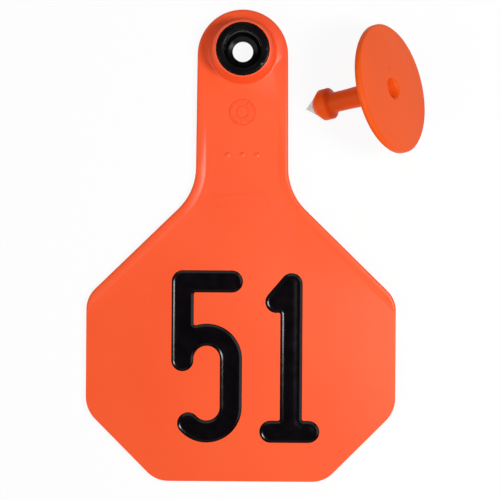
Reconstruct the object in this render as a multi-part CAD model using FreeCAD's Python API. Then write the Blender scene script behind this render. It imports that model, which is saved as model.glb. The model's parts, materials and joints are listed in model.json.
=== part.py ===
"""Two-piece livestock ear tag: a moulded flag tag with a hard socket bush, and its locking stud.

The tag is one moulding of soft polyurethane: a wide eight-cornered panel, a neck, and a round head with a tapered
boss. A rib stands along the edges of the neck and shoulders. The boss holds a hard black bush, whose cavity takes
the barb of the stud and whose floor has the hole that the barb is pushed through. The number is a groove in the
panel, part filled with ink. The stud is a second moulding, a disc with a tapered shaft and a barb, around a metal
piercing tip. A blind bore from the disc's back to the tip takes the pin of the applicator.

Frame: origin on the socket's axis at the tag's back face. +Z points out of the numbered face, and +Y points from
the panel to the head. The tag lies on its back, and the stud lies beside it as it comes to rest, on the edge of its
disc and on its barb. All sizes are in millimetres and degrees.
"""

import FreeCAD
import Part
import math
import os

from FreeCAD import Rotation, Vector

# ---- Tag outline, seen from the front ----
head_radius = 10.15
head_drop = 0.65  # from the socket's axis down to the centre of the head's arc
neck_root_width = 20.8  # the neck widens from the head to here
neck_reach = 31.5  # from the socket's axis down to the neck's root corner
shoulder_height = 23.7
side_height = 25.2
lower_corner_height = 15.9
panel_width = 69.4
bottom_width = 37.7
neck_fillet = 13.0
shoulder_round = 6.3
side_round = 7.2
bottom_round = 6.6

# ---- Tag section ----
panel_thickness = 1.5
rib_height = 0.5  # that the rib along neck and shoulders, and the head, stand above the panel
rib_width = 2.0
rib_slope_run = 0.4  # how far the rib's inner face runs out from its top to its foot
front_edge_round = 0.6
ramp_start = 11.8  # below the socket's axis, where the neck begins to thin from head to panel
ramp_length = 9.0

# ---- Socket bush, moulded into the boss ----
stud_hole_radius = 2.3
stud_hole_lead_in = 0.5  # depth and width of the cone at the back that guides the barb
stud_hole_edge_chamfer = 0.2
bush_floor = 2.0  # from the tag's back face to the floor of the cavity
cavity_radius = 4.0
cavity_corner_chamfer = 0.8
cavity_mouth_chamfer = 0.35
bush_wall = 1.2
bush_nose_wall = 1.8
bush_nose_length = 1.0
flange_overhang = 0.75
flange_thickness = 0.9
flange_chamfer = 0.25
anchor_taper = 0.35  # that the bush is wider above its nose than below its flange, so that it can't pull out

# ---- Boss on the head ----
boss_height = 8.0  # above the tag's back face
boss_lip = 0.3  # width of the boss round the bush's flange
boss_flare = 1.05  # that the boss is wider at its base than at its top
boss_base_chamfer = 0.5
boss_top_chamfer = 0.1

# ---- Number groove and ink ----
stroke_width = 4.95
groove_depth = 0.45
groove_corner_round = 0.45  # of the corners between strokes
groove_floor_chamfer = 0.2
ink_depth = 0.25  # that the ink fills of the groove
number_drop = 20.0  # from the neck's root corner down to the middle of the five's upper bar
five_stem_x = -13.1
five_bar_length = 11.0
five_stem_length = 17.7
five_bowl_radius = 5.45
five_bowl_drop = 17.4  # from the upper bar to the centre of the bowl's upper arc
five_bowl_length = 10.8  # between the centres of the bowl's two arcs
five_tail_bearing = 222.0  # where the bowl's lower arc ends
one_stem_x = 11.3
one_drop = 0.5  # of the one's top below the five's
one_height = 33.1
one_flag_run = 3.4
one_flag_drop = 4.0
one_foot_shift = -0.3  # of the foot's middle from the stem
one_foot_length = 8.5

# ---- Stud ----
disc_radius = 14.29
disc_thickness = 1.5
disc_edge_chamfer = 0.35
shaft_taper = 0.4  # that the shaft's radius shrinks from the disc to the neck
shaft_root_chamfer = 0.6
neck_clearance = 0.05  # the stud's neck turns in the bush's hole
stud_neck_length = 3.5
barb_start = 15.3  # from the disc's back face to where the barb rises from the neck
barb_clearance = 0.5  # between the barb and the wall of the bush's cavity
barb_back_length = 0.8
barb_land_length = 1.9
barb_nose_length = 1.6
pin_bore_radius = 1.4
pin_mouth_radius = 2.4
pin_mouth_chamfer = 0.3
pin_taper_length = 3.0

# ---- Piercing tip, moulded into the barb ----
tip_base_radius = 2.15
tip_length = 3.0
tip_stem_radius = 1.5  # where the stem leaves the cone
tip_stem_taper = 0.3  # that the stem is wider at its end, so that it can't pull out
tip_stem_length = 3.0

# ---- How the stud lies beside the tag ----
stud_gap = 3.9  # from the neck's edge to the tip
stud_tip_y = -12.7
stud_heading = 11.6  # from +X, the way that the disc lies from the tip

# ---- Worked out from the sizes above ----
head_thickness = panel_thickness + rib_height
bush_radius = cavity_radius + bush_wall
flange_radius = bush_radius + flange_overhang
nose_radius = stud_hole_radius + bush_nose_wall
boss_top_radius = flange_radius + boss_lip
boss_base_radius = boss_top_radius + boss_flare
neck_radius = stud_hole_radius - neck_clearance
shaft_root_radius = neck_radius + shaft_taper
barb_radius = cavity_radius - barb_clearance
barb_land_start = barb_start + barb_back_length
barb_land_end = barb_land_start + barb_land_length
tip_base = barb_land_end + barb_nose_length
pin_bore_depth = tip_base - tip_stem_length
stud_length = tip_base + tip_length
number_top = -neck_reach - number_drop
beyond = 2 * (neck_reach + shoulder_height + side_height + panel_width)  # well past every edge of the tag


def mirrored(point):
    """The point's mirror image across the tag's centre line."""
    return Vector(-point.x, point.y, point.z)


def rounded_edges(corners, closed=True):
    """Edges along a run of corners (point, radius), with an arc of that radius at each corner."""
    runs = []
    for i, (here, radius) in enumerate(corners):
        at_end = not closed and i in (0, len(corners) - 1)
        if radius == 0 or at_end:
            runs.append((here, None, here))
            continue
        to_last = (corners[i - 1][0] - here).normalize()
        to_next = (corners[(i + 1) % len(corners)][0] - here).normalize()
        half_angle = to_last.getAngle(to_next) / 2
        reach = radius / math.tan(half_angle)
        inward = (to_last + to_next).normalize()
        middle = here + inward * (radius / math.sin(half_angle) - radius)
        runs.append((here + to_last * reach, middle, here + to_next * reach))
    edges = []
    for i, (start, middle, end) in enumerate(runs):
        if middle is not None:
            edges.append(Part.Arc(start, middle, end).toShape())
        last = i == len(runs) - 1
        if last and not closed:
            break
        next_start = runs[(i + 1) % len(runs)][0]
        edges.append(Part.LineSegment(end, next_start).toShape())
    return edges


def turned(corners):
    """Solid of revolution about Z from a closed profile of corners (radius, height, chamfer)."""
    points = []
    places = [Vector(r, 0, z) for r, z, _ in corners]
    for i, (here, (_, _, chamfer)) in enumerate(zip(places, corners)):
        if chamfer == 0:
            points.append(here)
            continue
        for neighbour in (places[i - 1], places[(i + 1) % len(places)]):
            points.append(here + (neighbour - here).normalize() * chamfer)
    face = Part.Face(Part.makePolygon(points + points[:1]))
    return face.revolve(Vector(0, 0, 0), Vector(0, 0, 1), 360)


def inside_normal(start, end):
    """Unit normal to the right of the way from start to end, which is inside on the tag's right half."""
    way = (end - start).normalize()
    return Vector(way.y, -way.x, 0)


def tag_corners():
    """Corners of the tag's right half, without their rounding: neck root, shoulder, side and bottom."""
    shoulder_y = -neck_reach - shoulder_height
    side_y = shoulder_y - side_height
    return [
        Vector(neck_root_width / 2, -neck_reach, 0),
        Vector(panel_width / 2, shoulder_y, 0),
        Vector(panel_width / 2, side_y, 0),
        Vector(bottom_width / 2, side_y - lower_corner_height, 0),
    ]


def neck_top():
    """Point on the right where the neck's edge runs into the arc of the head."""
    centre = Vector(0, -head_drop, 0)
    to_root = tag_corners()[0] - centre
    bearing = math.atan2(to_root.y, to_root.x) + math.acos(head_radius / to_root.Length)
    return centre + Vector(math.cos(bearing), math.sin(bearing), 0) * head_radius


def outline_face():
    """The tag's outline as a flat face at the back."""
    rounds = [neck_fillet, shoulder_round, side_round, bottom_round]
    right = [(neck_top(), 0)] + list(zip(tag_corners(), rounds))
    left = [(mirrored(point), radius) for point, radius in reversed(right)]
    crown = Vector(0, head_radius - head_drop, 0)
    edges = rounded_edges(right + left, closed=False)
    edges.append(Part.Arc(mirrored(neck_top()), crown, neck_top()).toShape())
    return Part.Face(Part.Wire(edges))


def edges_at(shape, height):
    """Edges of the shape that lie flat at that height."""
    box_of = [(edge, edge.BoundBox) for edge in shape.Edges]
    return [edge for edge, box in box_of if abs(box.ZMin - height) < 1e-6 and abs(box.ZMax - height) < 1e-6]


def blank(thickness):
    """The tag's outline at one thickness, with its front edge rounded."""
    plate = outline_face().extrude(Vector(0, 0, thickness))
    return plate.makeFillet(front_edge_round, edges_at(plate, thickness))


def field_wire(inset, height):
    """Line that runs at that inset inside the neck and shoulders and closes well outside the panel."""
    top = neck_top()
    root, shoulder = tag_corners()[:2]
    neck_side = inside_normal(top, root)
    shoulder_side = inside_normal(root, shoulder)
    share = 1 + neck_side.dot(shoulder_side)
    inner_root = root + (neck_side + shoulder_side) * (inset / share)
    outer_shoulder = inner_root + (shoulder - root).normalize() * beyond
    outer_bottom = Vector(outer_shoulder.x, outer_shoulder.y - beyond, 0)
    right = [
        (top + neck_side * inset, 0),
        (inner_root, neck_fillet + inset),
        (outer_shoulder, 0),
        (outer_bottom, 0),
    ]
    left = [(mirrored(point), radius) for point, radius in reversed(right)]
    wire = Part.Wire(rounded_edges(right + left))
    wire.translate(Vector(0, 0, height))
    return wire


def field_tool():
    """Solid that takes the rib's height off the neck and shoulders, inside the rib and down a ramp."""
    above = head_thickness + rib_height
    foot = field_wire(rib_width + rib_slope_run, panel_thickness)
    lip = field_wire(rib_width - rib_slope_run, above)
    over_panel = Part.makeLoft([foot, lip], True, True)
    ramp_end = ramp_start + ramp_length
    side_view = [
        Vector(-beyond, -ramp_start, above),
        Vector(-beyond, -ramp_start, head_thickness),
        Vector(-beyond, -ramp_end, panel_thickness),
        Vector(-beyond, -2 * beyond, panel_thickness),
        Vector(-beyond, -2 * beyond, above),
    ]
    below_ramp = Part.Face(Part.makePolygon(side_view + side_view[:1])).extrude(Vector(2 * beyond, 0, 0))
    return over_panel.common(below_ramp)


def boss():
    """The tapered boss, with the disc of the head that carries it."""
    foot_radius = boss_base_radius + 2 * boss_base_chamfer
    return turned(
        [
            (0, 0, 0),
            (foot_radius, 0, 0),
            (foot_radius, head_thickness, 0),
            (boss_base_radius, head_thickness, boss_base_chamfer),
            (boss_top_radius, boss_height, boss_top_chamfer),
            (0, boss_height, 0),
        ]
    )


def bush_outside():
    """Corners of the bush's outer side, from its nose at the tag's back to its flange in front."""
    flange_height = boss_height - flange_thickness
    return [
        (nose_radius, 0, 0),
        (nose_radius, bush_nose_length, 0),
        (bush_radius + anchor_taper, bush_nose_length, 0),
        (bush_radius, flange_height, 0),
        (flange_radius, flange_height, 0),
    ]


def bush_seat():
    """The hollow that the bush fills in the boss, carried on past both faces of the tag."""
    back = [(0, -bush_floor, 0), (nose_radius, -bush_floor, 0)]
    front = [(flange_radius, boss_height + flange_thickness, 0), (0, boss_height + flange_thickness, 0)]
    return turned(back + bush_outside()[1:] + front)


def socket_bush():
    """The hard bush: a cup with a flange at its mouth and the stud's hole in its floor."""
    floor_width = cavity_radius - stud_hole_radius - stud_hole_edge_chamfer
    inside = [
        (flange_radius, boss_height, flange_chamfer),
        (cavity_radius + cavity_mouth_chamfer, boss_height, 0),
        (cavity_radius, boss_height - cavity_mouth_chamfer, 0),
        (cavity_radius, bush_floor, min(cavity_corner_chamfer, floor_width / 2)),
        (stud_hole_radius, bush_floor, stud_hole_edge_chamfer),
        (stud_hole_radius, stud_hole_lead_in, 0),
        (stud_hole_radius + stud_hole_lead_in, 0, 0),
    ]
    return turned(bush_outside() + inside)


def straight_stroke(start, end):
    """Flat face of a straight stroke with round ends."""
    half = stroke_width / 2
    along = (end - start).normalize()
    side = Vector(-along.y, along.x, 0) * half
    edges = [
        Part.LineSegment(start - side, end - side).toShape(),
        Part.Arc(end - side, end + along * half, end + side).toShape(),
        Part.LineSegment(end + side, start + side).toShape(),
        Part.Arc(start + side, start - along * half, start - side).toShape(),
    ]
    return Part.Face(Part.Wire(edges))


def at_bearing(centre, radius, bearing):
    """Point at that radius and bearing, in degrees, from the centre."""
    angle = math.radians(bearing)
    return centre + Vector(math.cos(angle), math.sin(angle), 0) * radius


def curved_stroke(centre, radius, first, last):
    """Flat face of a stroke along an arc from one bearing to another, with round ends."""
    half = stroke_width / 2
    outer, inner = radius + half, radius - half
    middle = (first + last) / 2
    past_last = at_bearing(at_bearing(centre, radius, last), half, last + 90)
    before_first = at_bearing(at_bearing(centre, radius, first), half, first - 90)
    outside = [at_bearing(centre, outer, bearing) for bearing in (first, middle, last)]
    inside = [at_bearing(centre, inner, bearing) for bearing in (last, middle, first)]
    edges = [
        Part.Arc(*outside).toShape(),
        Part.Arc(outside[-1], past_last, inside[0]).toShape(),
        Part.Arc(*inside).toShape(),
        Part.Arc(inside[-1], before_first, outside[0]).toShape(),
    ]
    return Part.Face(Part.Wire(edges))


def strokes_of_five():
    """Faces of the strokes of a five: bar, stem, and a bowl of two arcs with a straight between them."""
    corner = Vector(five_stem_x, number_top, 0)
    upper = corner + Vector(five_bowl_radius, -five_bowl_drop, 0)
    lower = upper - Vector(0, five_bowl_length, 0)
    reach = Vector(five_bowl_radius, 0, 0)
    return [
        straight_stroke(corner, corner + Vector(five_bar_length, 0, 0)),
        straight_stroke(corner, corner - Vector(0, five_stem_length, 0)),
        curved_stroke(upper, five_bowl_radius, 0, 180),
        straight_stroke(upper + reach, lower + reach),
        curved_stroke(lower, five_bowl_radius, five_tail_bearing, 360),
    ]


def strokes_of_one():
    """Faces of the strokes of a one: stem, flag and foot."""
    top = Vector(one_stem_x, number_top - one_drop, 0)
    base = top - Vector(0, one_height, 0)
    foot = base + Vector(one_foot_shift, 0, 0)
    half_foot = Vector(one_foot_length / 2, 0, 0)
    return [
        straight_stroke(top, base),
        straight_stroke(top, top - Vector(one_flag_run, one_flag_drop, 0)),
        straight_stroke(foot - half_foot, foot + half_foot),
    ]


def is_inside_corner(body, edge):
    """Whether an edge is upright, with more than half of the space round it filled by the body."""
    box = edge.BoundBox
    if max(box.XLength, box.YLength) > 1e-6:
        return False
    middle = edge.CenterOfMass
    around = [at_bearing(middle, groove_corner_round / 20, bearing) for bearing in range(0, 360, 10)]
    filled = [point for point in around if body.isInside(point, 1e-7, False)]
    return len(filled) > 0.55 * len(around)


def groove(strokes, depth):
    """Solid that fills a numeral's groove from its floor up to a depth."""
    floor = panel_thickness - groove_depth
    first, *others = strokes()
    outline = first.multiFuse(others).removeSplitter()
    outline.translate(Vector(0, 0, floor))
    body = outline.extrude(Vector(0, 0, depth))
    corners = [edge for edge in body.Edges if is_inside_corner(body, edge)]
    body = body.makeFillet(groove_corner_round, corners)
    return body.makeChamfer(groove_floor_chamfer, edges_at(body, floor))


def tag_panel():
    """The tag's moulding: panel, neck, ribs, head and boss, with the bush's seat and the number's grooves."""
    body = blank(head_thickness).cut(field_tool())
    body = body.fuse(boss()).cut(bush_seat())
    for strokes in (strokes_of_five, strokes_of_one):
        body = body.cut(groove(strokes, 2 * groove_depth))
    return body.removeSplitter()


def tip_stem():
    """Corners of the piercing tip's stem, from its end to the face of the barb."""
    return [(tip_stem_radius + tip_stem_taper, pin_bore_depth, 0), (tip_stem_radius, tip_base, 0)]


def piercing_tip():
    """The metal tip in the stud's own frame: a cone in front of a stem that holds it in the barb."""
    cone = [(tip_base_radius, tip_base, 0), (0, stud_length, 0)]
    return turned([(0, pin_bore_depth, 0)] + tip_stem() + cone)


def stud_button():
    """The stud's moulding in its own frame: back face at z = 0, shaft and barb along +Z."""
    outside = [
        (disc_radius, 0, disc_edge_chamfer),
        (disc_radius, disc_thickness, disc_edge_chamfer),
        (shaft_root_radius, disc_thickness, shaft_root_chamfer),
        (neck_radius, barb_start - stud_neck_length, 0),
        (neck_radius, barb_start, 0),
        (barb_radius, barb_land_start, 0),
        (barb_radius, barb_land_end, 0),
        (tip_base_radius, tip_base, 0),
    ]
    stem_pocket = list(reversed(tip_stem()))
    bore = [
        (pin_bore_radius, pin_bore_depth, 0),
        (pin_bore_radius, pin_taper_length, 0),
        (pin_mouth_radius, 0, pin_mouth_chamfer),
    ]
    return turned(outside + stem_pocket + bore)


def disc_contact():
    """Where the disc touches the ground: along the axis from its back, and out from the axis."""
    return disc_thickness - disc_edge_chamfer, disc_radius


def rest_tilt():
    """Angle below level at which the stud's axis lies when its disc and its barb or tip touch the ground."""
    disc_along, disc_out = disc_contact()
    front = [(barb_land_end, barb_radius), (stud_length, 0)]
    return min(math.atan2(disc_out - out, along - disc_along) for along, out in front)


def lay_down(shape):
    """The shape moved from the stud's own frame to where the stud lies beside the tag."""
    tilt, heading = rest_tilt(), math.radians(stud_heading)
    to_disc = Vector(math.cos(heading), math.sin(heading), 0) * math.cos(tilt) + Vector(0, 0, math.sin(tilt))
    disc_along, disc_out = disc_contact()
    back = Vector(neck_root_width / 2 + stud_gap, stud_tip_y, 0) + to_disc * stud_length
    back.z = disc_out * math.cos(tilt) + disc_along * math.sin(tilt)
    placed = shape.copy()
    placed.Placement = FreeCAD.Placement(back, Rotation(Vector(0, 0, 1), to_disc * -1))
    return placed


def build():
    """All sub-parts by name, each at its place in the frame."""
    return {
        "tag_panel": tag_panel(),
        "socket_bush": socket_bush(),
        "number_five_ink": groove(strokes_of_five, ink_depth),
        "number_one_ink": groove(strokes_of_one, ink_depth),
        "stud_button": lay_down(stud_button()),
        "piercing_tip": lay_down(piercing_tip()),
    }


def main():
    """Writes one STEP file for each sub-part and prints what it holds."""
    os.makedirs("parts", exist_ok=True)
    for name, shape in build().items():
        shape.exportStep(os.path.join("parts", name + ".step"))
        box = shape.optimalBoundingBox(False, False)
        print(
            f"{name}: {len(shape.Solids)} solid, valid {shape.isValid()}, volume {shape.Volume:.2f} mm3, "
            f"x {box.XMin:.2f} to {box.XMax:.2f}, y {box.YMin:.2f} to {box.YMax:.2f}, "
            f"z {box.ZMin:.3f} to {box.ZMax:.3f}"
        )


main()
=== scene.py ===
"""Looks of a livestock ear tag: its flag tag with the socket bush and the number, and the button stud beside it.

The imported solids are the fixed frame. This script smooths and dresses them, builds the inked numerals and the small
mould marks as pieces of their own, and sets up the table, the lamps and the camera. Sizes in the classes are in
millimetres unless a comment says metres, and the mesh code works in metres.
"""

import json
import logging
import math
from dataclasses import dataclass
from enum import Enum
from typing import Any, Iterable, Sequence

import bmesh
import bpy
from mathutils import Matrix, Vector

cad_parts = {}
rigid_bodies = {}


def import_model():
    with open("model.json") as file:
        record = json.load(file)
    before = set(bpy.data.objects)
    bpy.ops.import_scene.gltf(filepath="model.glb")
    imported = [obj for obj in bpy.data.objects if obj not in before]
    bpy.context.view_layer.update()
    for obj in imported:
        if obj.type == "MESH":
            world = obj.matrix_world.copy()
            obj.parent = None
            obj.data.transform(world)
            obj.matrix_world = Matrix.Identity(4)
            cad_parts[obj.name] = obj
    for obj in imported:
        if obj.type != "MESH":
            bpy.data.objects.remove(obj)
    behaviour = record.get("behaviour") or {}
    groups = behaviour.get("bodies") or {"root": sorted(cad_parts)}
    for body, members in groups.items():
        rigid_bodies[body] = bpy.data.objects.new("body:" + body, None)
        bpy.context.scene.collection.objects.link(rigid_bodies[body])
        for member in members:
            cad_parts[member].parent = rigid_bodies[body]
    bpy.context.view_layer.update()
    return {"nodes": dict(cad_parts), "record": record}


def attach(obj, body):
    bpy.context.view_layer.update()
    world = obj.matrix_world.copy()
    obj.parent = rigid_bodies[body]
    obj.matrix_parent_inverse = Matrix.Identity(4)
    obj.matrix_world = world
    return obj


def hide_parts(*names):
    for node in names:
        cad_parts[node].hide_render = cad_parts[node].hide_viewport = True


MM = 0.001
BODY = "root"
WHITE = (1.0, 1.0, 1.0, 1.0)
SAME_PLACE = 0.0005  # millimetres within which two corners of a new piece are one
PACKED_SAME_PLACE = 0.001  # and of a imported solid
SMOOTH_DEGREES = 50.0  # faces of a new piece that meet at less than this are shaded as one
Pair = tuple[float, float]

log = logging.getLogger("ear_tag")


class Slot(Enum):
    """Material slots of the record, by name."""

    TAG = "tag_polyurethane"
    INK = "number_ink"
    STUD = "stud_polyurethane"


def linear(hex_colour: str) -> tuple[float, float, float, float]:
    """Turns an sRGB hex colour into the linear colour that a shader socket takes.

    Args:
        hex_colour: Six hex digits after a hash sign.

    Returns:
        Red, green, blue and an alpha of 1.
    """
    shares = [int(hex_colour[i : i + 2], 16) / 255 for i in (1, 3, 5)]
    red, green, blue = (s / 12.92 if s <= 0.04045 else ((s + 0.055) / 1.055) ** 2.4 for s in shares)
    return red, green, blue, 1.0


class NodeGraph:
    """A node tree under construction."""

    def __init__(self, tree: bpy.types.NodeTree) -> None:
        """Starts an empty graph.

        Args:
            tree: The node tree to fill.
        """
        self.tree = tree
        self.tree.nodes.clear()

    def add(self, kind: str, settings: dict[str, Any] | None = None, **links: Any) -> bpy.types.Node:
        """Adds a node with its settings, socket values and links.

        Args:
            kind: The node's type name.
            settings: Properties of the node itself.
            **links: Input sockets by name, with underscores for spaces, or by number as in i0. A value is an output
                socket to link from, or a constant.

        Returns:
            The new node.
        """
        node = self.tree.nodes.new(kind)
        for name, value in (settings or {}).items():
            setattr(node, name, value)
        for name, value in links.items():
            numbered = name[0] == "i" and name[1:].isdigit()
            socket = node.inputs[int(name[1:])] if numbered else node.inputs[name.replace("_", " ")]
            if isinstance(value, bpy.types.NodeSocket):
                self.tree.links.new(value, socket)
            else:
                socket.default_value = value
        return node

    def ramp(self, factor: bpy.types.NodeSocket, stops: Sequence[tuple[float, str]]) -> bpy.types.NodeSocket:
        """Adds a colour ramp.

        Args:
            factor: What the ramp reads.
            stops: Position and hex colour of each stop, in order.

        Returns:
            The ramp's colour output.
        """
        node = self.add("ShaderNodeValToRGB", i0=factor)
        elements = node.color_ramp.elements
        while len(elements) < len(stops):
            elements.new(0.5)
        for element, (position, colour) in zip(elements, stops):
            element.position = position
            element.color = linear(colour)
        return node.outputs["Color"]

    def place(self) -> bpy.types.NodeSocket:
        """Adds the piece's Object coordinates."""
        return self.add("ShaderNodeTexCoord").outputs["Object"]

    def noise(self, place: bpy.types.NodeSocket, size_mm: float, detail: float) -> bpy.types.NodeSocket:
        """Adds a noise texture.

        Args:
            place: The coordinates that it reads.
            size_mm: About how wide its features are.
            detail: How many finer layers it has.

        Returns:
            The noise, from 0 to 1.
        """
        scale = 1 / (size_mm * MM)
        return self.add("ShaderNodeTexNoise", Vector=place, Scale=scale, Detail=detail).outputs["Fac"]

    def around(self, share: bpy.types.NodeSocket, middle: float, spread: float) -> bpy.types.NodeSocket:
        """Adds a range that a share of 0 to 1 is mapped onto.

        Args:
            share: What is mapped.
            middle: The middle of the range.
            spread: How far below the middle a share of 0 lies, and above it a share of 1.

        Returns:
            The mapped value.
        """
        mapped = self.add("ShaderNodeMapRange", Value=share, To_Min=middle - spread, To_Max=middle + spread)
        return mapped.outputs["Result"]

    def bump(self, height: bpy.types.NodeSocket, strength: float, depth_mm: float) -> bpy.types.NodeSocket:
        """Adds a bump.

        Args:
            height: The height at each place, from 0 to 1.
            strength: How strongly the bump bends the normal.
            depth_mm: How high a height of 1 is.

        Returns:
            The bent normal.
        """
        return self.add("ShaderNodeBump", Height=height, Strength=strength, Distance=depth_mm * MM).outputs["Normal"]

    def maths(self, operation: str, first: Any, second: Any) -> bpy.types.NodeSocket:
        """Adds a calculation on two values.

        Args:
            operation: The calculation's name.
            first: A socket or a constant.
            second: A socket or a constant.

        Returns:
            The result.
        """
        return self.add("ShaderNodeMath", {"operation": operation}, i0=first, i1=second).outputs[0]

    def surface(self, **sockets: Any) -> None:
        """Ends a material with its shader and its output.

        Args:
            **sockets: Input sockets of the shader, as for add.
        """
        shader = self.add("ShaderNodeBsdfPrincipled", **sockets)
        self.add("ShaderNodeOutputMaterial", Surface=shader.outputs["BSDF"])


def start_material(name: str) -> tuple[bpy.types.Material, NodeGraph]:
    """Starts a material.

    Args:
        name: The material's name.

    Returns:
        The material and its empty node graph.
    """
    material = bpy.data.materials.new(name)
    material.use_nodes = True
    return material, NodeGraph(material.node_tree)


@dataclass(frozen=True)
class MouldedPolyurethane:
    """Injection-moulded thermoplastic polyurethane, dyed through.

    A soft satin skin with a broad dull sheen, colour that drifts a little where the melt has flowed, and a fine
    mould-spark grain that breaks up the highlights.
    """

    name: str
    colour: str
    shade: str
    light: str
    roughness: float = 0.42
    roughness_spread: float = 0.05
    specular: float = 0.5
    refraction: float = 1.5
    flow_mm: float = 26.0
    flow_stops: tuple[float, float, float] = (0.3, 0.5, 0.7)  # where in the flow shade, colour and light are full
    grain_mm: float = 0.5  # coarser than the real spark grain of 0.1 mm, so that it shows at all
    grain_strength: float = 0.08
    grain_depth_mm: float = 0.02

    def make(self) -> bpy.types.Material:
        """Builds the material.

        Returns:
            The new material.
        """
        material, graph = start_material(self.name)
        place = graph.place()
        flow = graph.noise(place, self.flow_mm, detail=2.0)
        grain = graph.noise(place, self.grain_mm, detail=3.0)
        graph.surface(
            Base_Color=graph.ramp(flow, list(zip(self.flow_stops, (self.shade, self.colour, self.light)))),
            Roughness=graph.around(grain, self.roughness, self.roughness_spread),
            Normal=graph.bump(grain, self.grain_strength, self.grain_depth_mm),
            IOR=self.refraction,
            Specular_IOR_Level=self.specular,
        )
        return material


@dataclass(frozen=True)
class MouldedNylon:
    """Injection-moulded black nylon, as in hard bushings.

    Nearly black and satin, with a faint grey bloom in soft patches.
    """

    name: str = "moulded_black_nylon"
    colour: str = "#080607"
    bloom: str = "#131011"
    roughness: float = 0.26
    roughness_spread: float = 0.06
    specular: float = 0.15
    refraction: float = 1.53
    bloom_mm: float = 3.0
    bloom_stops: Pair = (0.4, 0.75)
    grain_mm: float = 0.4
    grain_strength: float = 0.1
    grain_depth_mm: float = 0.02

    def make(self) -> bpy.types.Material:
        """Builds the material.

        Returns:
            The new material.
        """
        material, graph = start_material(self.name)
        place = graph.place()
        bloom = graph.noise(place, self.bloom_mm, detail=3.0)
        grain = graph.noise(place, self.grain_mm, detail=2.0)
        graph.surface(
            Base_Color=graph.ramp(bloom, list(zip(self.bloom_stops, (self.colour, self.bloom)))),
            Roughness=graph.around(grain, self.roughness, self.roughness_spread),
            Normal=graph.bump(grain, self.grain_strength, self.grain_depth_mm),
            IOR=self.refraction,
            Specular_IOR_Level=self.specular,
        )
        return material


@dataclass(frozen=True)
class FilledInk:
    """Black two-part ink, wiped into a groove and cured.

    Deep black and glossy, slightly wavy where it has flowed, with a film that is thinner in patches.
    """

    name: str = "cured_black_ink"
    colour: str = "#030103"
    thin: str = "#090409"
    roughness: float = 0.18
    roughness_spread: float = 0.06
    specular: float = 0.25
    refraction: float = 1.5
    flow_mm: float = 2.2
    flow_stops: Pair = (0.35, 0.7)
    ripple_mm: float = 1.2
    ripple_strength: float = 0.25
    ripple_depth_mm: float = 0.03

    def make(self) -> bpy.types.Material:
        """Builds the material.

        Returns:
            The new material.
        """
        material, graph = start_material(self.name)
        place = graph.place()
        flow = graph.noise(place, self.flow_mm, detail=3.0)
        ripple = graph.noise(place, self.ripple_mm, detail=2.0)
        graph.surface(
            Base_Color=graph.ramp(flow, list(zip(self.flow_stops, (self.colour, self.thin)))),
            Roughness=graph.around(flow, self.roughness, self.roughness_spread),
            Normal=graph.bump(ripple, self.ripple_strength, self.ripple_depth_mm),
            IOR=self.refraction,
            Specular_IOR_Level=self.specular,
        )
        return material


@dataclass(frozen=True)
class CastZinc:
    """Die-cast zinc, tumbled bright, as in ear tag points.

    Pale warm grey metal with a soft sheen and small cloudy patches from the tumbling.
    """

    name: str = "tumbled_cast_zinc"
    colour: str = "#d2d3cf"
    cloud: str = "#b4b6b3"
    roughness: float = 0.36
    roughness_spread: float = -0.08  # below zero because the clouds are the rougher part
    cloud_mm: float = 0.9
    cloud_stops: Pair = (0.35, 0.6)
    pit_mm: float = 0.35
    pit_strength: float = 0.2
    pit_depth_mm: float = 0.02

    def make(self) -> bpy.types.Material:
        """Builds the material.

        Returns:
            The new material.
        """
        material, graph = start_material(self.name)
        place = graph.place()
        cloud = graph.noise(place, self.cloud_mm, detail=3.0)
        pits = graph.noise(place, self.pit_mm, detail=2.0)
        graph.surface(
            Base_Color=graph.ramp(cloud, list(zip(self.cloud_stops, (self.cloud, self.colour)))),
            Metallic=1.0,
            Roughness=graph.around(cloud, self.roughness, self.roughness_spread),
            Normal=graph.bump(pits, self.pit_strength, self.pit_depth_mm),
        )
        return material


@dataclass(frozen=True)
class WhiteTable:
    """Matt white laminate: a plain ground that shows white to the eye and to reflections, and keeps shadows."""

    name: str = "matt_white_laminate"
    colour: str = "#f6f6f6"
    roughness: float = 0.6
    seen_strength: float = 1.0
    shadow_share: float = 0.08  # how much of a shadow the eye sees

    def make(self) -> bpy.types.Material:
        """Builds the material.

        Returns:
            The new material.
        """
        material, graph = start_material(self.name)
        seen = graph.add("ShaderNodeLightPath").outputs
        by_eye = graph.maths("MAXIMUM", seen["Is Camera Ray"], seen["Is Glossy Ray"])
        by_any = graph.maths("MAXIMUM", by_eye, seen["Is Transmission Ray"])
        share = graph.maths("MULTIPLY", by_any, 1 - self.shadow_share)
        laminate = graph.add("ShaderNodeBsdfDiffuse", Color=linear(self.colour), Roughness=self.roughness)
        white = graph.add("ShaderNodeEmission", Color=WHITE, Strength=self.seen_strength)
        mix = graph.add("ShaderNodeMixShader", i0=share, i1=laminate.outputs["BSDF"], i2=white.outputs["Emission"])
        graph.add("ShaderNodeOutputMaterial", Surface=mix.outputs["Shader"])
        return material


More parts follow.
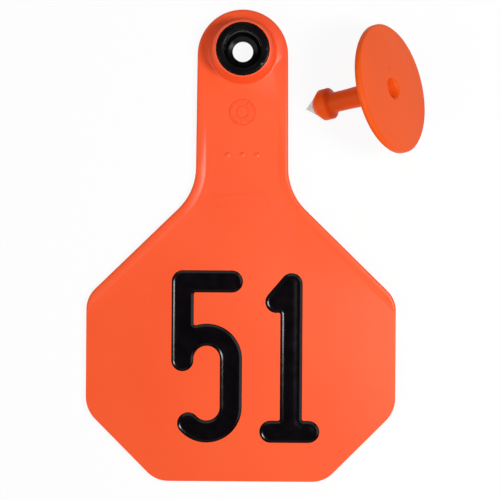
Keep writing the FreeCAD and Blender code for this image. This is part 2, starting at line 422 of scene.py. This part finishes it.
class SoftEdges:
    """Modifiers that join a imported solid's faces and shade its chamfers as the small rounds of a mould."""

    def __init__(self, crease_degrees: float = 62.0, face_weight: int = 60) -> None:
        """Builds the shared geometry nodes.

        Args:
            crease_degrees: Edges sharper than this stay crisp.
            face_weight: How strongly the larger faces lead the normals, from 1 to 100.
        """
        self.face_weight = face_weight
        self.group = bpy.data.node_groups.new("join_and_crease", "GeometryNodeTree")
        self.group.interface.new_socket("Geometry", in_out="INPUT", socket_type="NodeSocketGeometry")
        self.group.interface.new_socket("Geometry", in_out="OUTPUT", socket_type="NodeSocketGeometry")
        graph = NodeGraph(self.group)
        given = graph.add("NodeGroupInput").outputs["Geometry"]
        joined = graph.add("GeometryNodeMergeByDistance", Geometry=given, Distance=PACKED_SAME_PLACE * MM)
        faces = graph.add("GeometryNodeSetShadeSmooth", {"domain": "FACE"}, i0=joined.outputs[0], i2=True)
        turn = graph.add("GeometryNodeInputMeshEdgeAngle").outputs["Unsigned Angle"]
        soft = graph.maths("LESS_THAN", turn, math.radians(crease_degrees))
        edges = graph.add("GeometryNodeSetShadeSmooth", {"domain": "EDGE"}, i0=faces.outputs[0], i2=soft)
        graph.add("NodeGroupOutput", i0=edges.outputs[0])

    def give(self, piece: bpy.types.Object) -> None:
        """Adds the modifiers to a piece.

        Args:
            piece: The object to smooth.
        """
        joined = piece.modifiers.new("join_and_crease", "NODES")
        joined.node_group = self.group
        weighted = piece.modifiers.new("weigh_normals", "WEIGHTED_NORMAL")
        weighted.mode = "FACE_AREA"
        weighted.weight = self.face_weight
        weighted.keep_sharp = True


def dress(piece: bpy.types.Object, material: bpy.types.Material) -> None:
    """Gives a piece one material all over."""
    piece.data.materials.clear()
    piece.data.materials.append(material)


def finished_piece(
    mesh: bmesh.types.BMesh, name: str, material: bpy.types.Material
) -> bpy.types.Object:
    """Turns a bmesh into a finished piece that rides on the tag's one body.

    Args:
        mesh: The modelled shape, in metres and in place. It is freed.
        name: The piece's name.
        material: What the piece is made of.

    Returns:
        The new object, at the origin.
    """
    bmesh.ops.remove_doubles(mesh, verts=mesh.verts, dist=SAME_PLACE * MM)
    bmesh.ops.recalc_face_normals(mesh, faces=mesh.faces)
    data = bpy.data.meshes.new(name)
    mesh.to_mesh(data)
    mesh.free()
    data.shade_smooth()
    data.set_sharp_from_angle(angle=math.radians(SMOOTH_DEGREES))
    piece = bpy.data.objects.new(name, data)
    bpy.context.scene.collection.objects.link(piece)
    dress(piece, material)
    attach(piece, BODY)
    return piece


def spin_round(mesh: bmesh.types.BMesh, outline: list[Any], steps: int) -> None:
    """Spins an outline once about Z.

    Args:
        mesh: The mesh that the outline is in.
        outline: Its vertices and edges.
        steps: Segments round the axis.
    """
    bmesh.ops.spin(
        mesh,
        geom=outline,
        cent=(0, 0, 0),
        axis=(0, 0, 1),
        angle=math.tau,
        steps=steps,
        use_merge=True,
        use_duplicate=False,
    )


def dome(size: Pair, root: float, side: float, crown: Iterable[Pair], steps: int = 32) -> bmesh.types.BMesh:
    """A low round dome about Z, with a root below the origin's plane.

    Args:
        size: Its radius and height.
        root: How far its root goes down.
        side: The height of its upright side.
        crown: The corners from the side to the middle, as shares of the radius and of the height.
        steps: Segments round the axis.

    Returns:
        The dome as a closed solid, in metres.
    """
    radius, height = size
    profile = [(0, -root), (radius, -root), (radius, side)]
    profile += [(radius * out, height * up) for out, up in crown]
    mesh = bmesh.new()
    corners = [mesh.verts.new((out * MM, 0, up * MM)) for out, up in profile]
    edges = [mesh.edges.new(pair) for pair in zip(corners, corners[1:])]
    spin_round(mesh, corners + edges, steps)
    bmesh.ops.remove_doubles(mesh, verts=mesh.verts, dist=SAME_PLACE * MM)
    return mesh


def join(target: bmesh.types.BMesh, other: bmesh.types.BMesh) -> None:
    """Adds one bmesh to another.

    Args:
        target: The bmesh that grows.
        other: The bmesh that is added. It is freed.
    """
    holder = bpy.data.meshes.new("joined_part")
    other.to_mesh(holder)
    other.free()
    target.from_mesh(holder)
    bpy.data.meshes.remove(holder)


@dataclass
class FlagTag:
    """The flag tag's moulding and the small mould marks on its neck."""

    finish: MouldedPolyurethane
    head_thickness: float = 2.0
    panel_thickness: float = 1.5
    ramp_start: float = -11.8  # where the neck begins to thin towards the panel
    ramp_end: float = -20.8
    mark_height: float = 0.18
    mark_root: float = 0.2  # how deep a mark is set into the neck, so that no gap shows under it
    clock_y: float = -13.6
    clock_radius: float = 3.0
    clock_line: float = 0.34
    clock_ticks: int = 12
    tick_size: Pair = (0.26, 0.75)
    dial_radius: float = 1.3
    pointer_degrees: float = 30.0
    ring_shoulder: float = 0.2  # height of a ring's shoulders, as a share of its crest
    ring_top: float = 0.45  # width of a ring's flat top, as a share of its line
    ring_steps: int = 56
    bar_bevel: float = 0.06
    pip_y: float = -23.2
    pip_spacing: float = 3.3
    pip_radius: float = 0.72
    pip_side: float = 0.02
    pip_crown: tuple[Pair, ...] = ((0.8, 0.7), (0.45, 1.0), (0.0, 1.05))
    insert_y: float = -33.6
    insert_size: Pair = (12.4, 3.0)
    insert_line: float = 0.3
    insert_round: float = 0.8
    insert_rise: float = 0.7  # its height, as a share of the other marks' height

    def neck_height(self, y: float) -> float:
        """Height of the neck's front face.

        Args:
            y: Place along the neck, in metres.

        Returns:
            The height there, in metres.
        """
        along = (self.ramp_start * MM - y) / ((self.ramp_start - self.ramp_end) * MM)
        share = min(1.0, max(0.0, along))
        return (self.head_thickness + (self.panel_thickness - self.head_thickness) * share) * MM

    def lay_on_neck(self, mesh: bmesh.types.BMesh) -> None:
        """Lifts a mark from the origin's plane to the neck's front face, following the ramp."""
        for vertex in mesh.verts:
            vertex.co.z += self.neck_height(vertex.co.y)

    def ring(self, centre_y: float, radius: float, line: float) -> bmesh.types.BMesh:
        """A raised ring with a rounded crest.

        Args:
            centre_y: The ring's place along the neck.
            radius: Middle radius of the ring.
            line: Width of its crest and flanks together.

        Returns:
            The ring as a closed solid.
        """
        half, crest, low = line / 2, self.mark_height, -self.mark_root
        top, shoulder = half * self.ring_top, crest * self.ring_shoulder
        section = [(-half, low), (-half, shoulder), (-top, crest), (top, crest), (half, shoulder), (half, low)]
        mesh = bmesh.new()
        corners = [mesh.verts.new(((radius + out) * MM, 0, up * MM)) for out, up in section]
        edges = [mesh.edges.new((corners[i - 1], corners[i])) for i in range(len(corners))]
        spin_round(mesh, corners + edges, self.ring_steps)
        bmesh.ops.translate(mesh, verts=mesh.verts, vec=(0, centre_y * MM, 0))
        return mesh

    def block(self, size: Pair, place: Pair, turn: float = 0.0) -> bmesh.types.BMesh:
        """A small raised bar with softened top edges.

        Args:
            size: Width and length.
            place: Its middle on the neck.
            turn: Its turn about Z, in radians.

        Returns:
            The bar as a closed solid.
        """
        mesh = bmesh.new()
        height = self.mark_height + self.mark_root
        shape = Matrix.Diagonal((size[0] * MM, size[1] * MM, height * MM, 1))
        bmesh.ops.create_cube(mesh, size=1, matrix=shape)
        bmesh.ops.translate(mesh, verts=mesh.verts, vec=(0, 0, (self.mark_height - height / 2) * MM))
        top = [edge for edge in mesh.edges if all(vertex.co.z > 0 for vertex in edge.verts)]
        bmesh.ops.bevel(
            mesh, geom=top, offset=self.bar_bevel * MM, segments=2, profile=0.5, affect="EDGES", material=-1
        )
        bmesh.ops.rotate(mesh, verts=mesh.verts, cent=(0, 0, 0), matrix=Matrix.Rotation(turn, 3, "Z"))
        bmesh.ops.translate(mesh, verts=mesh.verts, vec=(place[0] * MM, place[1] * MM, 0))
        return mesh

    def date_clock(self) -> bmesh.types.BMesh:
        """A plain moulding date clock: a ring, its ticks, and a dial with a pointer.

        Returns:
            The clock in place on the neck.
        """
        clock = self.ring(self.clock_y, self.clock_radius - self.clock_line / 2, self.clock_line)
        join(clock, self.ring(self.clock_y, self.dial_radius, self.clock_line))
        width, length = self.tick_size
        reach = (self.clock_radius + self.dial_radius) / 2
        for i in range(self.clock_ticks):
            bearing = math.tau * i / self.clock_ticks
            place = (-reach * math.sin(bearing), self.clock_y + reach * math.cos(bearing))
            join(clock, self.block((width, length), place, bearing))
        pointer_turn = math.radians(self.pointer_degrees)
        join(clock, self.block((width, self.dial_radius), (0, self.clock_y), pointer_turn))
        self.lay_on_neck(clock)
        return clock

    def pips(self) -> bmesh.types.BMesh:
        """Three low round pips in a row.

        Returns:
            The pips in place on the neck.
        """
        row = bmesh.new()
        for i in (-1, 0, 1):
            pip = dome((self.pip_radius, self.mark_height), self.mark_root, self.pip_side, self.pip_crown)
            bmesh.ops.translate(pip, verts=pip.verts, vec=(i * self.pip_spacing * MM, self.pip_y * MM, 0))
            join(row, pip)
        self.lay_on_neck(row)
        return row

    def insert_outline(self) -> bmesh.types.BMesh:
        """The witness line of a blank exchangeable insert: a thin frame with round corners.

        Returns:
            The frame in place on the neck.
        """
        mesh = bmesh.new()
        width, height = self.insert_size
        rise = self.mark_height * self.insert_rise
        shape = Matrix.Diagonal((width * MM, height * MM, 1, 1))
        bmesh.ops.create_grid(mesh, x_segments=1, y_segments=1, size=0.5, matrix=shape)
        bmesh.ops.bevel(
            mesh,
            geom=list(mesh.verts),
            offset=self.insert_round * MM,
            segments=6,
            profile=0.5,
            affect="VERTICES",
            material=-1,
        )
        line = bmesh.ops.inset_region(
            mesh,
            faces=list(mesh.faces),
            thickness=self.insert_line * MM,
            use_even_offset=True,
            use_boundary=True,
        )
        inner = [face for face in mesh.faces if face not in line["faces"]]
        bmesh.ops.delete(mesh, geom=inner, context="FACES")
        low = bmesh.ops.extrude_face_region(mesh, geom=list(mesh.faces))
        moved = [item for item in low["geom"] if isinstance(item, bmesh.types.BMVert)]
        bmesh.ops.translate(mesh, verts=moved, vec=(0, 0, -(self.mark_root + rise) * MM))
        bmesh.ops.translate(mesh, verts=mesh.verts, vec=(0, self.insert_y * MM, rise * MM))
        self.lay_on_neck(mesh)
        return mesh

    def build(self, panel: bpy.types.Object, edges: SoftEdges) -> list[bpy.types.Object]:
        """Dresses the moulding and adds its mould marks.

        Args:
            panel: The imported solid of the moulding.
            edges: What softens the solid's chamfers.

        Returns:
            The moulding and its marks.
        """
        material = self.finish.make()
        dress(panel, material)
        edges.give(panel)
        marks = {
            "neck_date_clock": self.date_clock(),
            "neck_pips": self.pips(),
            "neck_insert_outline": self.insert_outline(),
        }
        return [panel] + [finished_piece(mesh, name, material) for name, mesh in marks.items()]


@dataclass
class SocketBush:
    """The hard bush in the boss."""

    finish: MouldedNylon

    def build(self, bush: bpy.types.Object, edges: SoftEdges) -> list[bpy.types.Object]:
        """Dresses the bush.

        Args:
            bush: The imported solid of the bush.
            edges: What softens the solid's chamfers.

        Returns:
            The bush.
        """
        dress(bush, self.finish.make())
        edges.give(bush)
        return [bush]


@dataclass
class InkedNumber:
    """The ink of the numerals, which coats each groove from its lip to its floor.

    Each line of a profile lies so far in from the numeral's outline and so far below the lip.
    """

    finish: FilledInk
    lip: float = 1.495  # height at which the ink ends, just under the panel's face
    wall: tuple[Pair, ...] = ((0.1, 0.12), (0.3, 0.24), (0.6, 0.34), (0.85, 0.385), (1.0, 0.395))
    crown: tuple[Pair, ...] = ((1.3, 0.375), (1.7, 0.325), (2.05, 0.295), (2.3, 0.29))  # of the one only

    def meniscus(self, fill: bpy.types.Object, profile: Sequence[Pair]) -> bmesh.types.BMesh:
        """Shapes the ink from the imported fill: its outline raised to the lip, and its top dished.

        Args:
            fill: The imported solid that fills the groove's lower part.
            profile: How far in from the outline, and how far below the lip, each line of the dished top lies.

        Returns:
            The ink as a closed solid.
        """
        mesh = bmesh.new()
        mesh.from_mesh(fill.data)
        bmesh.ops.remove_doubles(mesh, verts=mesh.verts, dist=PACKED_SAME_PLACE * MM)
        level = max(vertex.co.z for vertex in mesh.verts) - PACKED_SAME_PLACE * MM
        top = [face for face in mesh.faces if all(vertex.co.z > level for vertex in face.verts)]
        surface = bmesh.ops.dissolve_faces(mesh, faces=top)["region"][0]
        for vertex in surface.verts:
            vertex.co.z = self.lip * MM
        inset, depth = 0.0, 0.0
        for next_inset, next_depth in profile:
            bmesh.ops.inset_region(
                mesh,
                faces=[surface],
                thickness=(next_inset - inset) * MM,
                depth=(depth - next_depth) * MM,
                use_even_offset=True,
                use_boundary=True,
            )
            inset, depth = next_inset, next_depth
        bmesh.ops.triangulate(mesh, faces=[surface])
        return mesh

    def build(self, five: bpy.types.Object, one: bpy.types.Object) -> list[bpy.types.Object]:
        """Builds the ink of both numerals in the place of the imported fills.

        Args:
            five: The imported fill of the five.
            one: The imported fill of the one.

        Returns:
            The ink of the five and of the one.
        """
        material = self.finish.make()
        pieces = []
        for fill, name, profile in ((five, "inked_five", self.wall), (one, "inked_one", self.wall + self.crown)):
            piece = finished_piece(self.meniscus(fill, profile), name, material)
            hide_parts(fill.name)
            pieces.append(piece)
        return pieces


@dataclass
class ButtonStud:
    """The button stud that lies beside the tag, with its metal piercing tip."""

    finish: MouldedPolyurethane
    tip_finish: CastZinc
    bore: dict[str, Any]  # the mount of the applicator's bore, which gives the stud's axis
    bore_middle: float = 9.8  # from the disc's back face to the middle of the bore
    gate_reach: float = 4.6  # from the axis to the gate mark
    gate_radius: float = 0.55
    gate_height: float = 0.08
    gate_root: float = 0.2
    gate_side: float = 0.01
    gate_crown: tuple[Pair, ...] = ((0.85, 0.8), (0.5, 1.0), (0.0, 1.0))

    def gate_mark(self) -> bmesh.types.BMesh:
        """The stub left where the melt came in, a low dome on the disc's back above the funnel.

        Returns:
            The stub in place on the disc.
        """
        mesh = dome((self.gate_radius, self.gate_height), self.gate_root, self.gate_side, self.gate_crown)
        outward = Vector(self.bore["axis"]).normalized()
        centre = Vector(self.bore["pos_m"]) + outward * self.bore_middle * MM
        along_face = Vector((0, 1, 0)) - outward * outward.y
        turn = Vector((0, 0, 1)).rotation_difference(outward).to_matrix().to_4x4()
        place = Matrix.Translation(centre + along_face.normalized() * self.gate_reach * MM)
        bmesh.ops.transform(mesh, matrix=place @ turn, verts=mesh.verts)
        return mesh

    def build(self, stud: bpy.types.Object, tip: bpy.types.Object, edges: SoftEdges) -> list[bpy.types.Object]:
        """Dresses the stud and its tip and adds the gate mark.

        Args:
            stud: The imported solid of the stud's moulding.
            tip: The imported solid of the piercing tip.
            edges: What softens the solids' chamfers.

        Returns:
            The stud, its gate mark and its tip.
        """
        material = self.finish.make()
        dress(stud, material)
        dress(tip, self.tip_finish.make())
        for piece in (stud, tip):
            edges.give(piece)
        return [stud, finished_piece(self.gate_mark(), "disc_gate_mark", material), tip]


@dataclass(frozen=True)
class Softbox:
    """One soft lamp, aimed at the tag."""

    name: str
    bearing: float  # degrees from +X towards +Y
    elevation: float
    distance: float  # metres
    size: float  # metres
    power: float  # watts

    def place(self, target: Vector) -> None:
        """Adds the lamp.

        Args:
            target: Where the lamp is aimed.
        """
        light = bpy.data.lights.new(self.name, "AREA")
        light.shape = "SQUARE"
        light.size = self.size
        light.energy = self.power
        lamp = bpy.data.objects.new(self.name, light)
        bearing, elevation = math.radians(self.bearing), math.radians(self.elevation)
        level = math.cos(elevation)
        towards = Vector((math.cos(bearing) * level, math.sin(bearing) * level, math.sin(elevation)))
        lamp.location = target + towards * self.distance
        lamp.rotation_euler = (-towards).to_track_quat("-Z", "Y").to_euler()
        bpy.context.scene.collection.objects.link(lamp)


@dataclass
class Studio:
    """The table, the lamps, the surround and the camera."""

    table_finish: WhiteTable
    target: Pair = (1.9, -44.4)  # what the camera looks straight down on
    camera_height: float = 400.0
    view_width: float = 112.5  # that the picture spans at the table
    sensor_width: float = 36.0
    camera_roll: float = 0.4  # degrees
    camera_range: Pair = (0.01, 20.0)  # metres
    table_size: float = 3.0  # metres
    table_segments: int = 8
    table_gap: float = 0.02  # under the parts' flat faces, so that no two faces lie in one plane
    surround: float = 0.08  # strength of the surround that lights the parts
    softboxes: tuple[Softbox, ...] = (
        Softbox("key_softbox", bearing=2, elevation=60, distance=0.28, size=0.07, power=0.52),
        Softbox("left_softbox", bearing=-160, elevation=38, distance=1.0, size=0.8, power=3.6),
        Softbox("foot_softbox", bearing=-90, elevation=38, distance=1.0, size=0.8, power=2.6),
        Softbox("head_softbox", bearing=100, elevation=42, distance=1.0, size=0.8, power=0.7),
    )

    def table(self) -> None:
        """Lays the white table under the parts."""
        mesh = bmesh.new()
        segments = self.table_segments
        bmesh.ops.create_grid(mesh, x_segments=segments, y_segments=segments, size=self.table_size / 2)
        bmesh.ops.translate(mesh, verts=mesh.verts, vec=(0, 0, -self.table_gap * MM))
        data = bpy.data.meshes.new("table")
        mesh.to_mesh(data)
        mesh.free()
        table = bpy.data.objects.new("table", data)
        bpy.context.scene.collection.objects.link(table)
        dress(table, self.table_finish.make())

    def light(self) -> None:
        """Places the lamps and an even surround that the eye sees as white."""
        target = Vector((self.target[0] * MM, self.target[1] * MM, 0))
        for softbox in self.softboxes:
            softbox.place(target)
        world = bpy.data.worlds.new("surround")
        bpy.context.scene.world = world
        world.use_nodes = True
        graph = NodeGraph(world.node_tree)
        seen = graph.add("ShaderNodeLightPath").outputs["Is Camera Ray"]
        even = graph.add("ShaderNodeBackground", Color=WHITE, Strength=self.surround)
        white = graph.add("ShaderNodeBackground", Color=WHITE, Strength=1.0)
        mix = graph.add("ShaderNodeMixShader", i0=seen, i1=even.outputs[0], i2=white.outputs[0])
        graph.add("ShaderNodeOutputWorld", Surface=mix.outputs[0])

    def camera(self) -> None:
        """Hangs the camera over the middle of the view, looking straight down."""
        lens = bpy.data.cameras.new("camera")
        lens.sensor_width = self.sensor_width
        lens.lens = self.sensor_width * self.camera_height / self.view_width
        lens.clip_start, lens.clip_end = self.camera_range
        camera = bpy.data.objects.new("camera", lens)
        camera.location = (self.target[0] * MM, self.target[1] * MM, self.camera_height * MM)
        camera.rotation_euler = (0, 0, math.radians(self.camera_roll))
        bpy.context.scene.collection.objects.link(camera)
        bpy.context.scene.camera = camera

    def build(self) -> None:
        """Sets up the whole studio."""
        self.table()
        self.light()
        self.camera()
        bpy.context.scene.view_settings.view_transform = "Standard"


def clear_scene() -> None:
    """Removes what a new file starts with."""
    for thing in list(bpy.data.objects):
        bpy.data.objects.remove(thing)


def report(pieces: Iterable[bpy.types.Object]) -> None:
    """Logs each piece with its face count.

    Args:
        pieces: The pieces of one sub-assembly.
    """
    for piece in pieces:
        log.info("%s: %d faces", piece.name, len(piece.data.polygons))


def main() -> None:
    """Builds the scene's classes in order and reports each piece."""
    logging.basicConfig(level=logging.INFO, format="%(name)s: %(message)s")
    clear_scene()
    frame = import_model()
    nodes = frame["nodes"]
    mounts = {mount["name"]: mount for mount in frame["record"]["mounts"]}
    edges = SoftEdges()
    tag_finish = MouldedPolyurethane(
        "moulded_orange_polyurethane", colour="#ff5820", shade="#fd551e", light="#ff5b23"
    )
    stud_finish = MouldedPolyurethane(
        "moulded_stud_polyurethane", colour="#f05712", shade="#ed5511", light="#f35914", specular=0.12
    )
    report(FlagTag(tag_finish).build(nodes["tag_panel"], edges))
    report(SocketBush(MouldedNylon()).build(nodes["socket_bush"], edges))
    report(InkedNumber(FilledInk()).build(nodes["number_five_ink"], nodes["number_one_ink"]))
    stud = ButtonStud(stud_finish, CastZinc(), mounts["applicator_bore"])
    report(stud.build(nodes["stud_button"], nodes["piercing_tip"], edges))
    Studio(WhiteTable()).build()


if __name__ == "__main__":
    main()
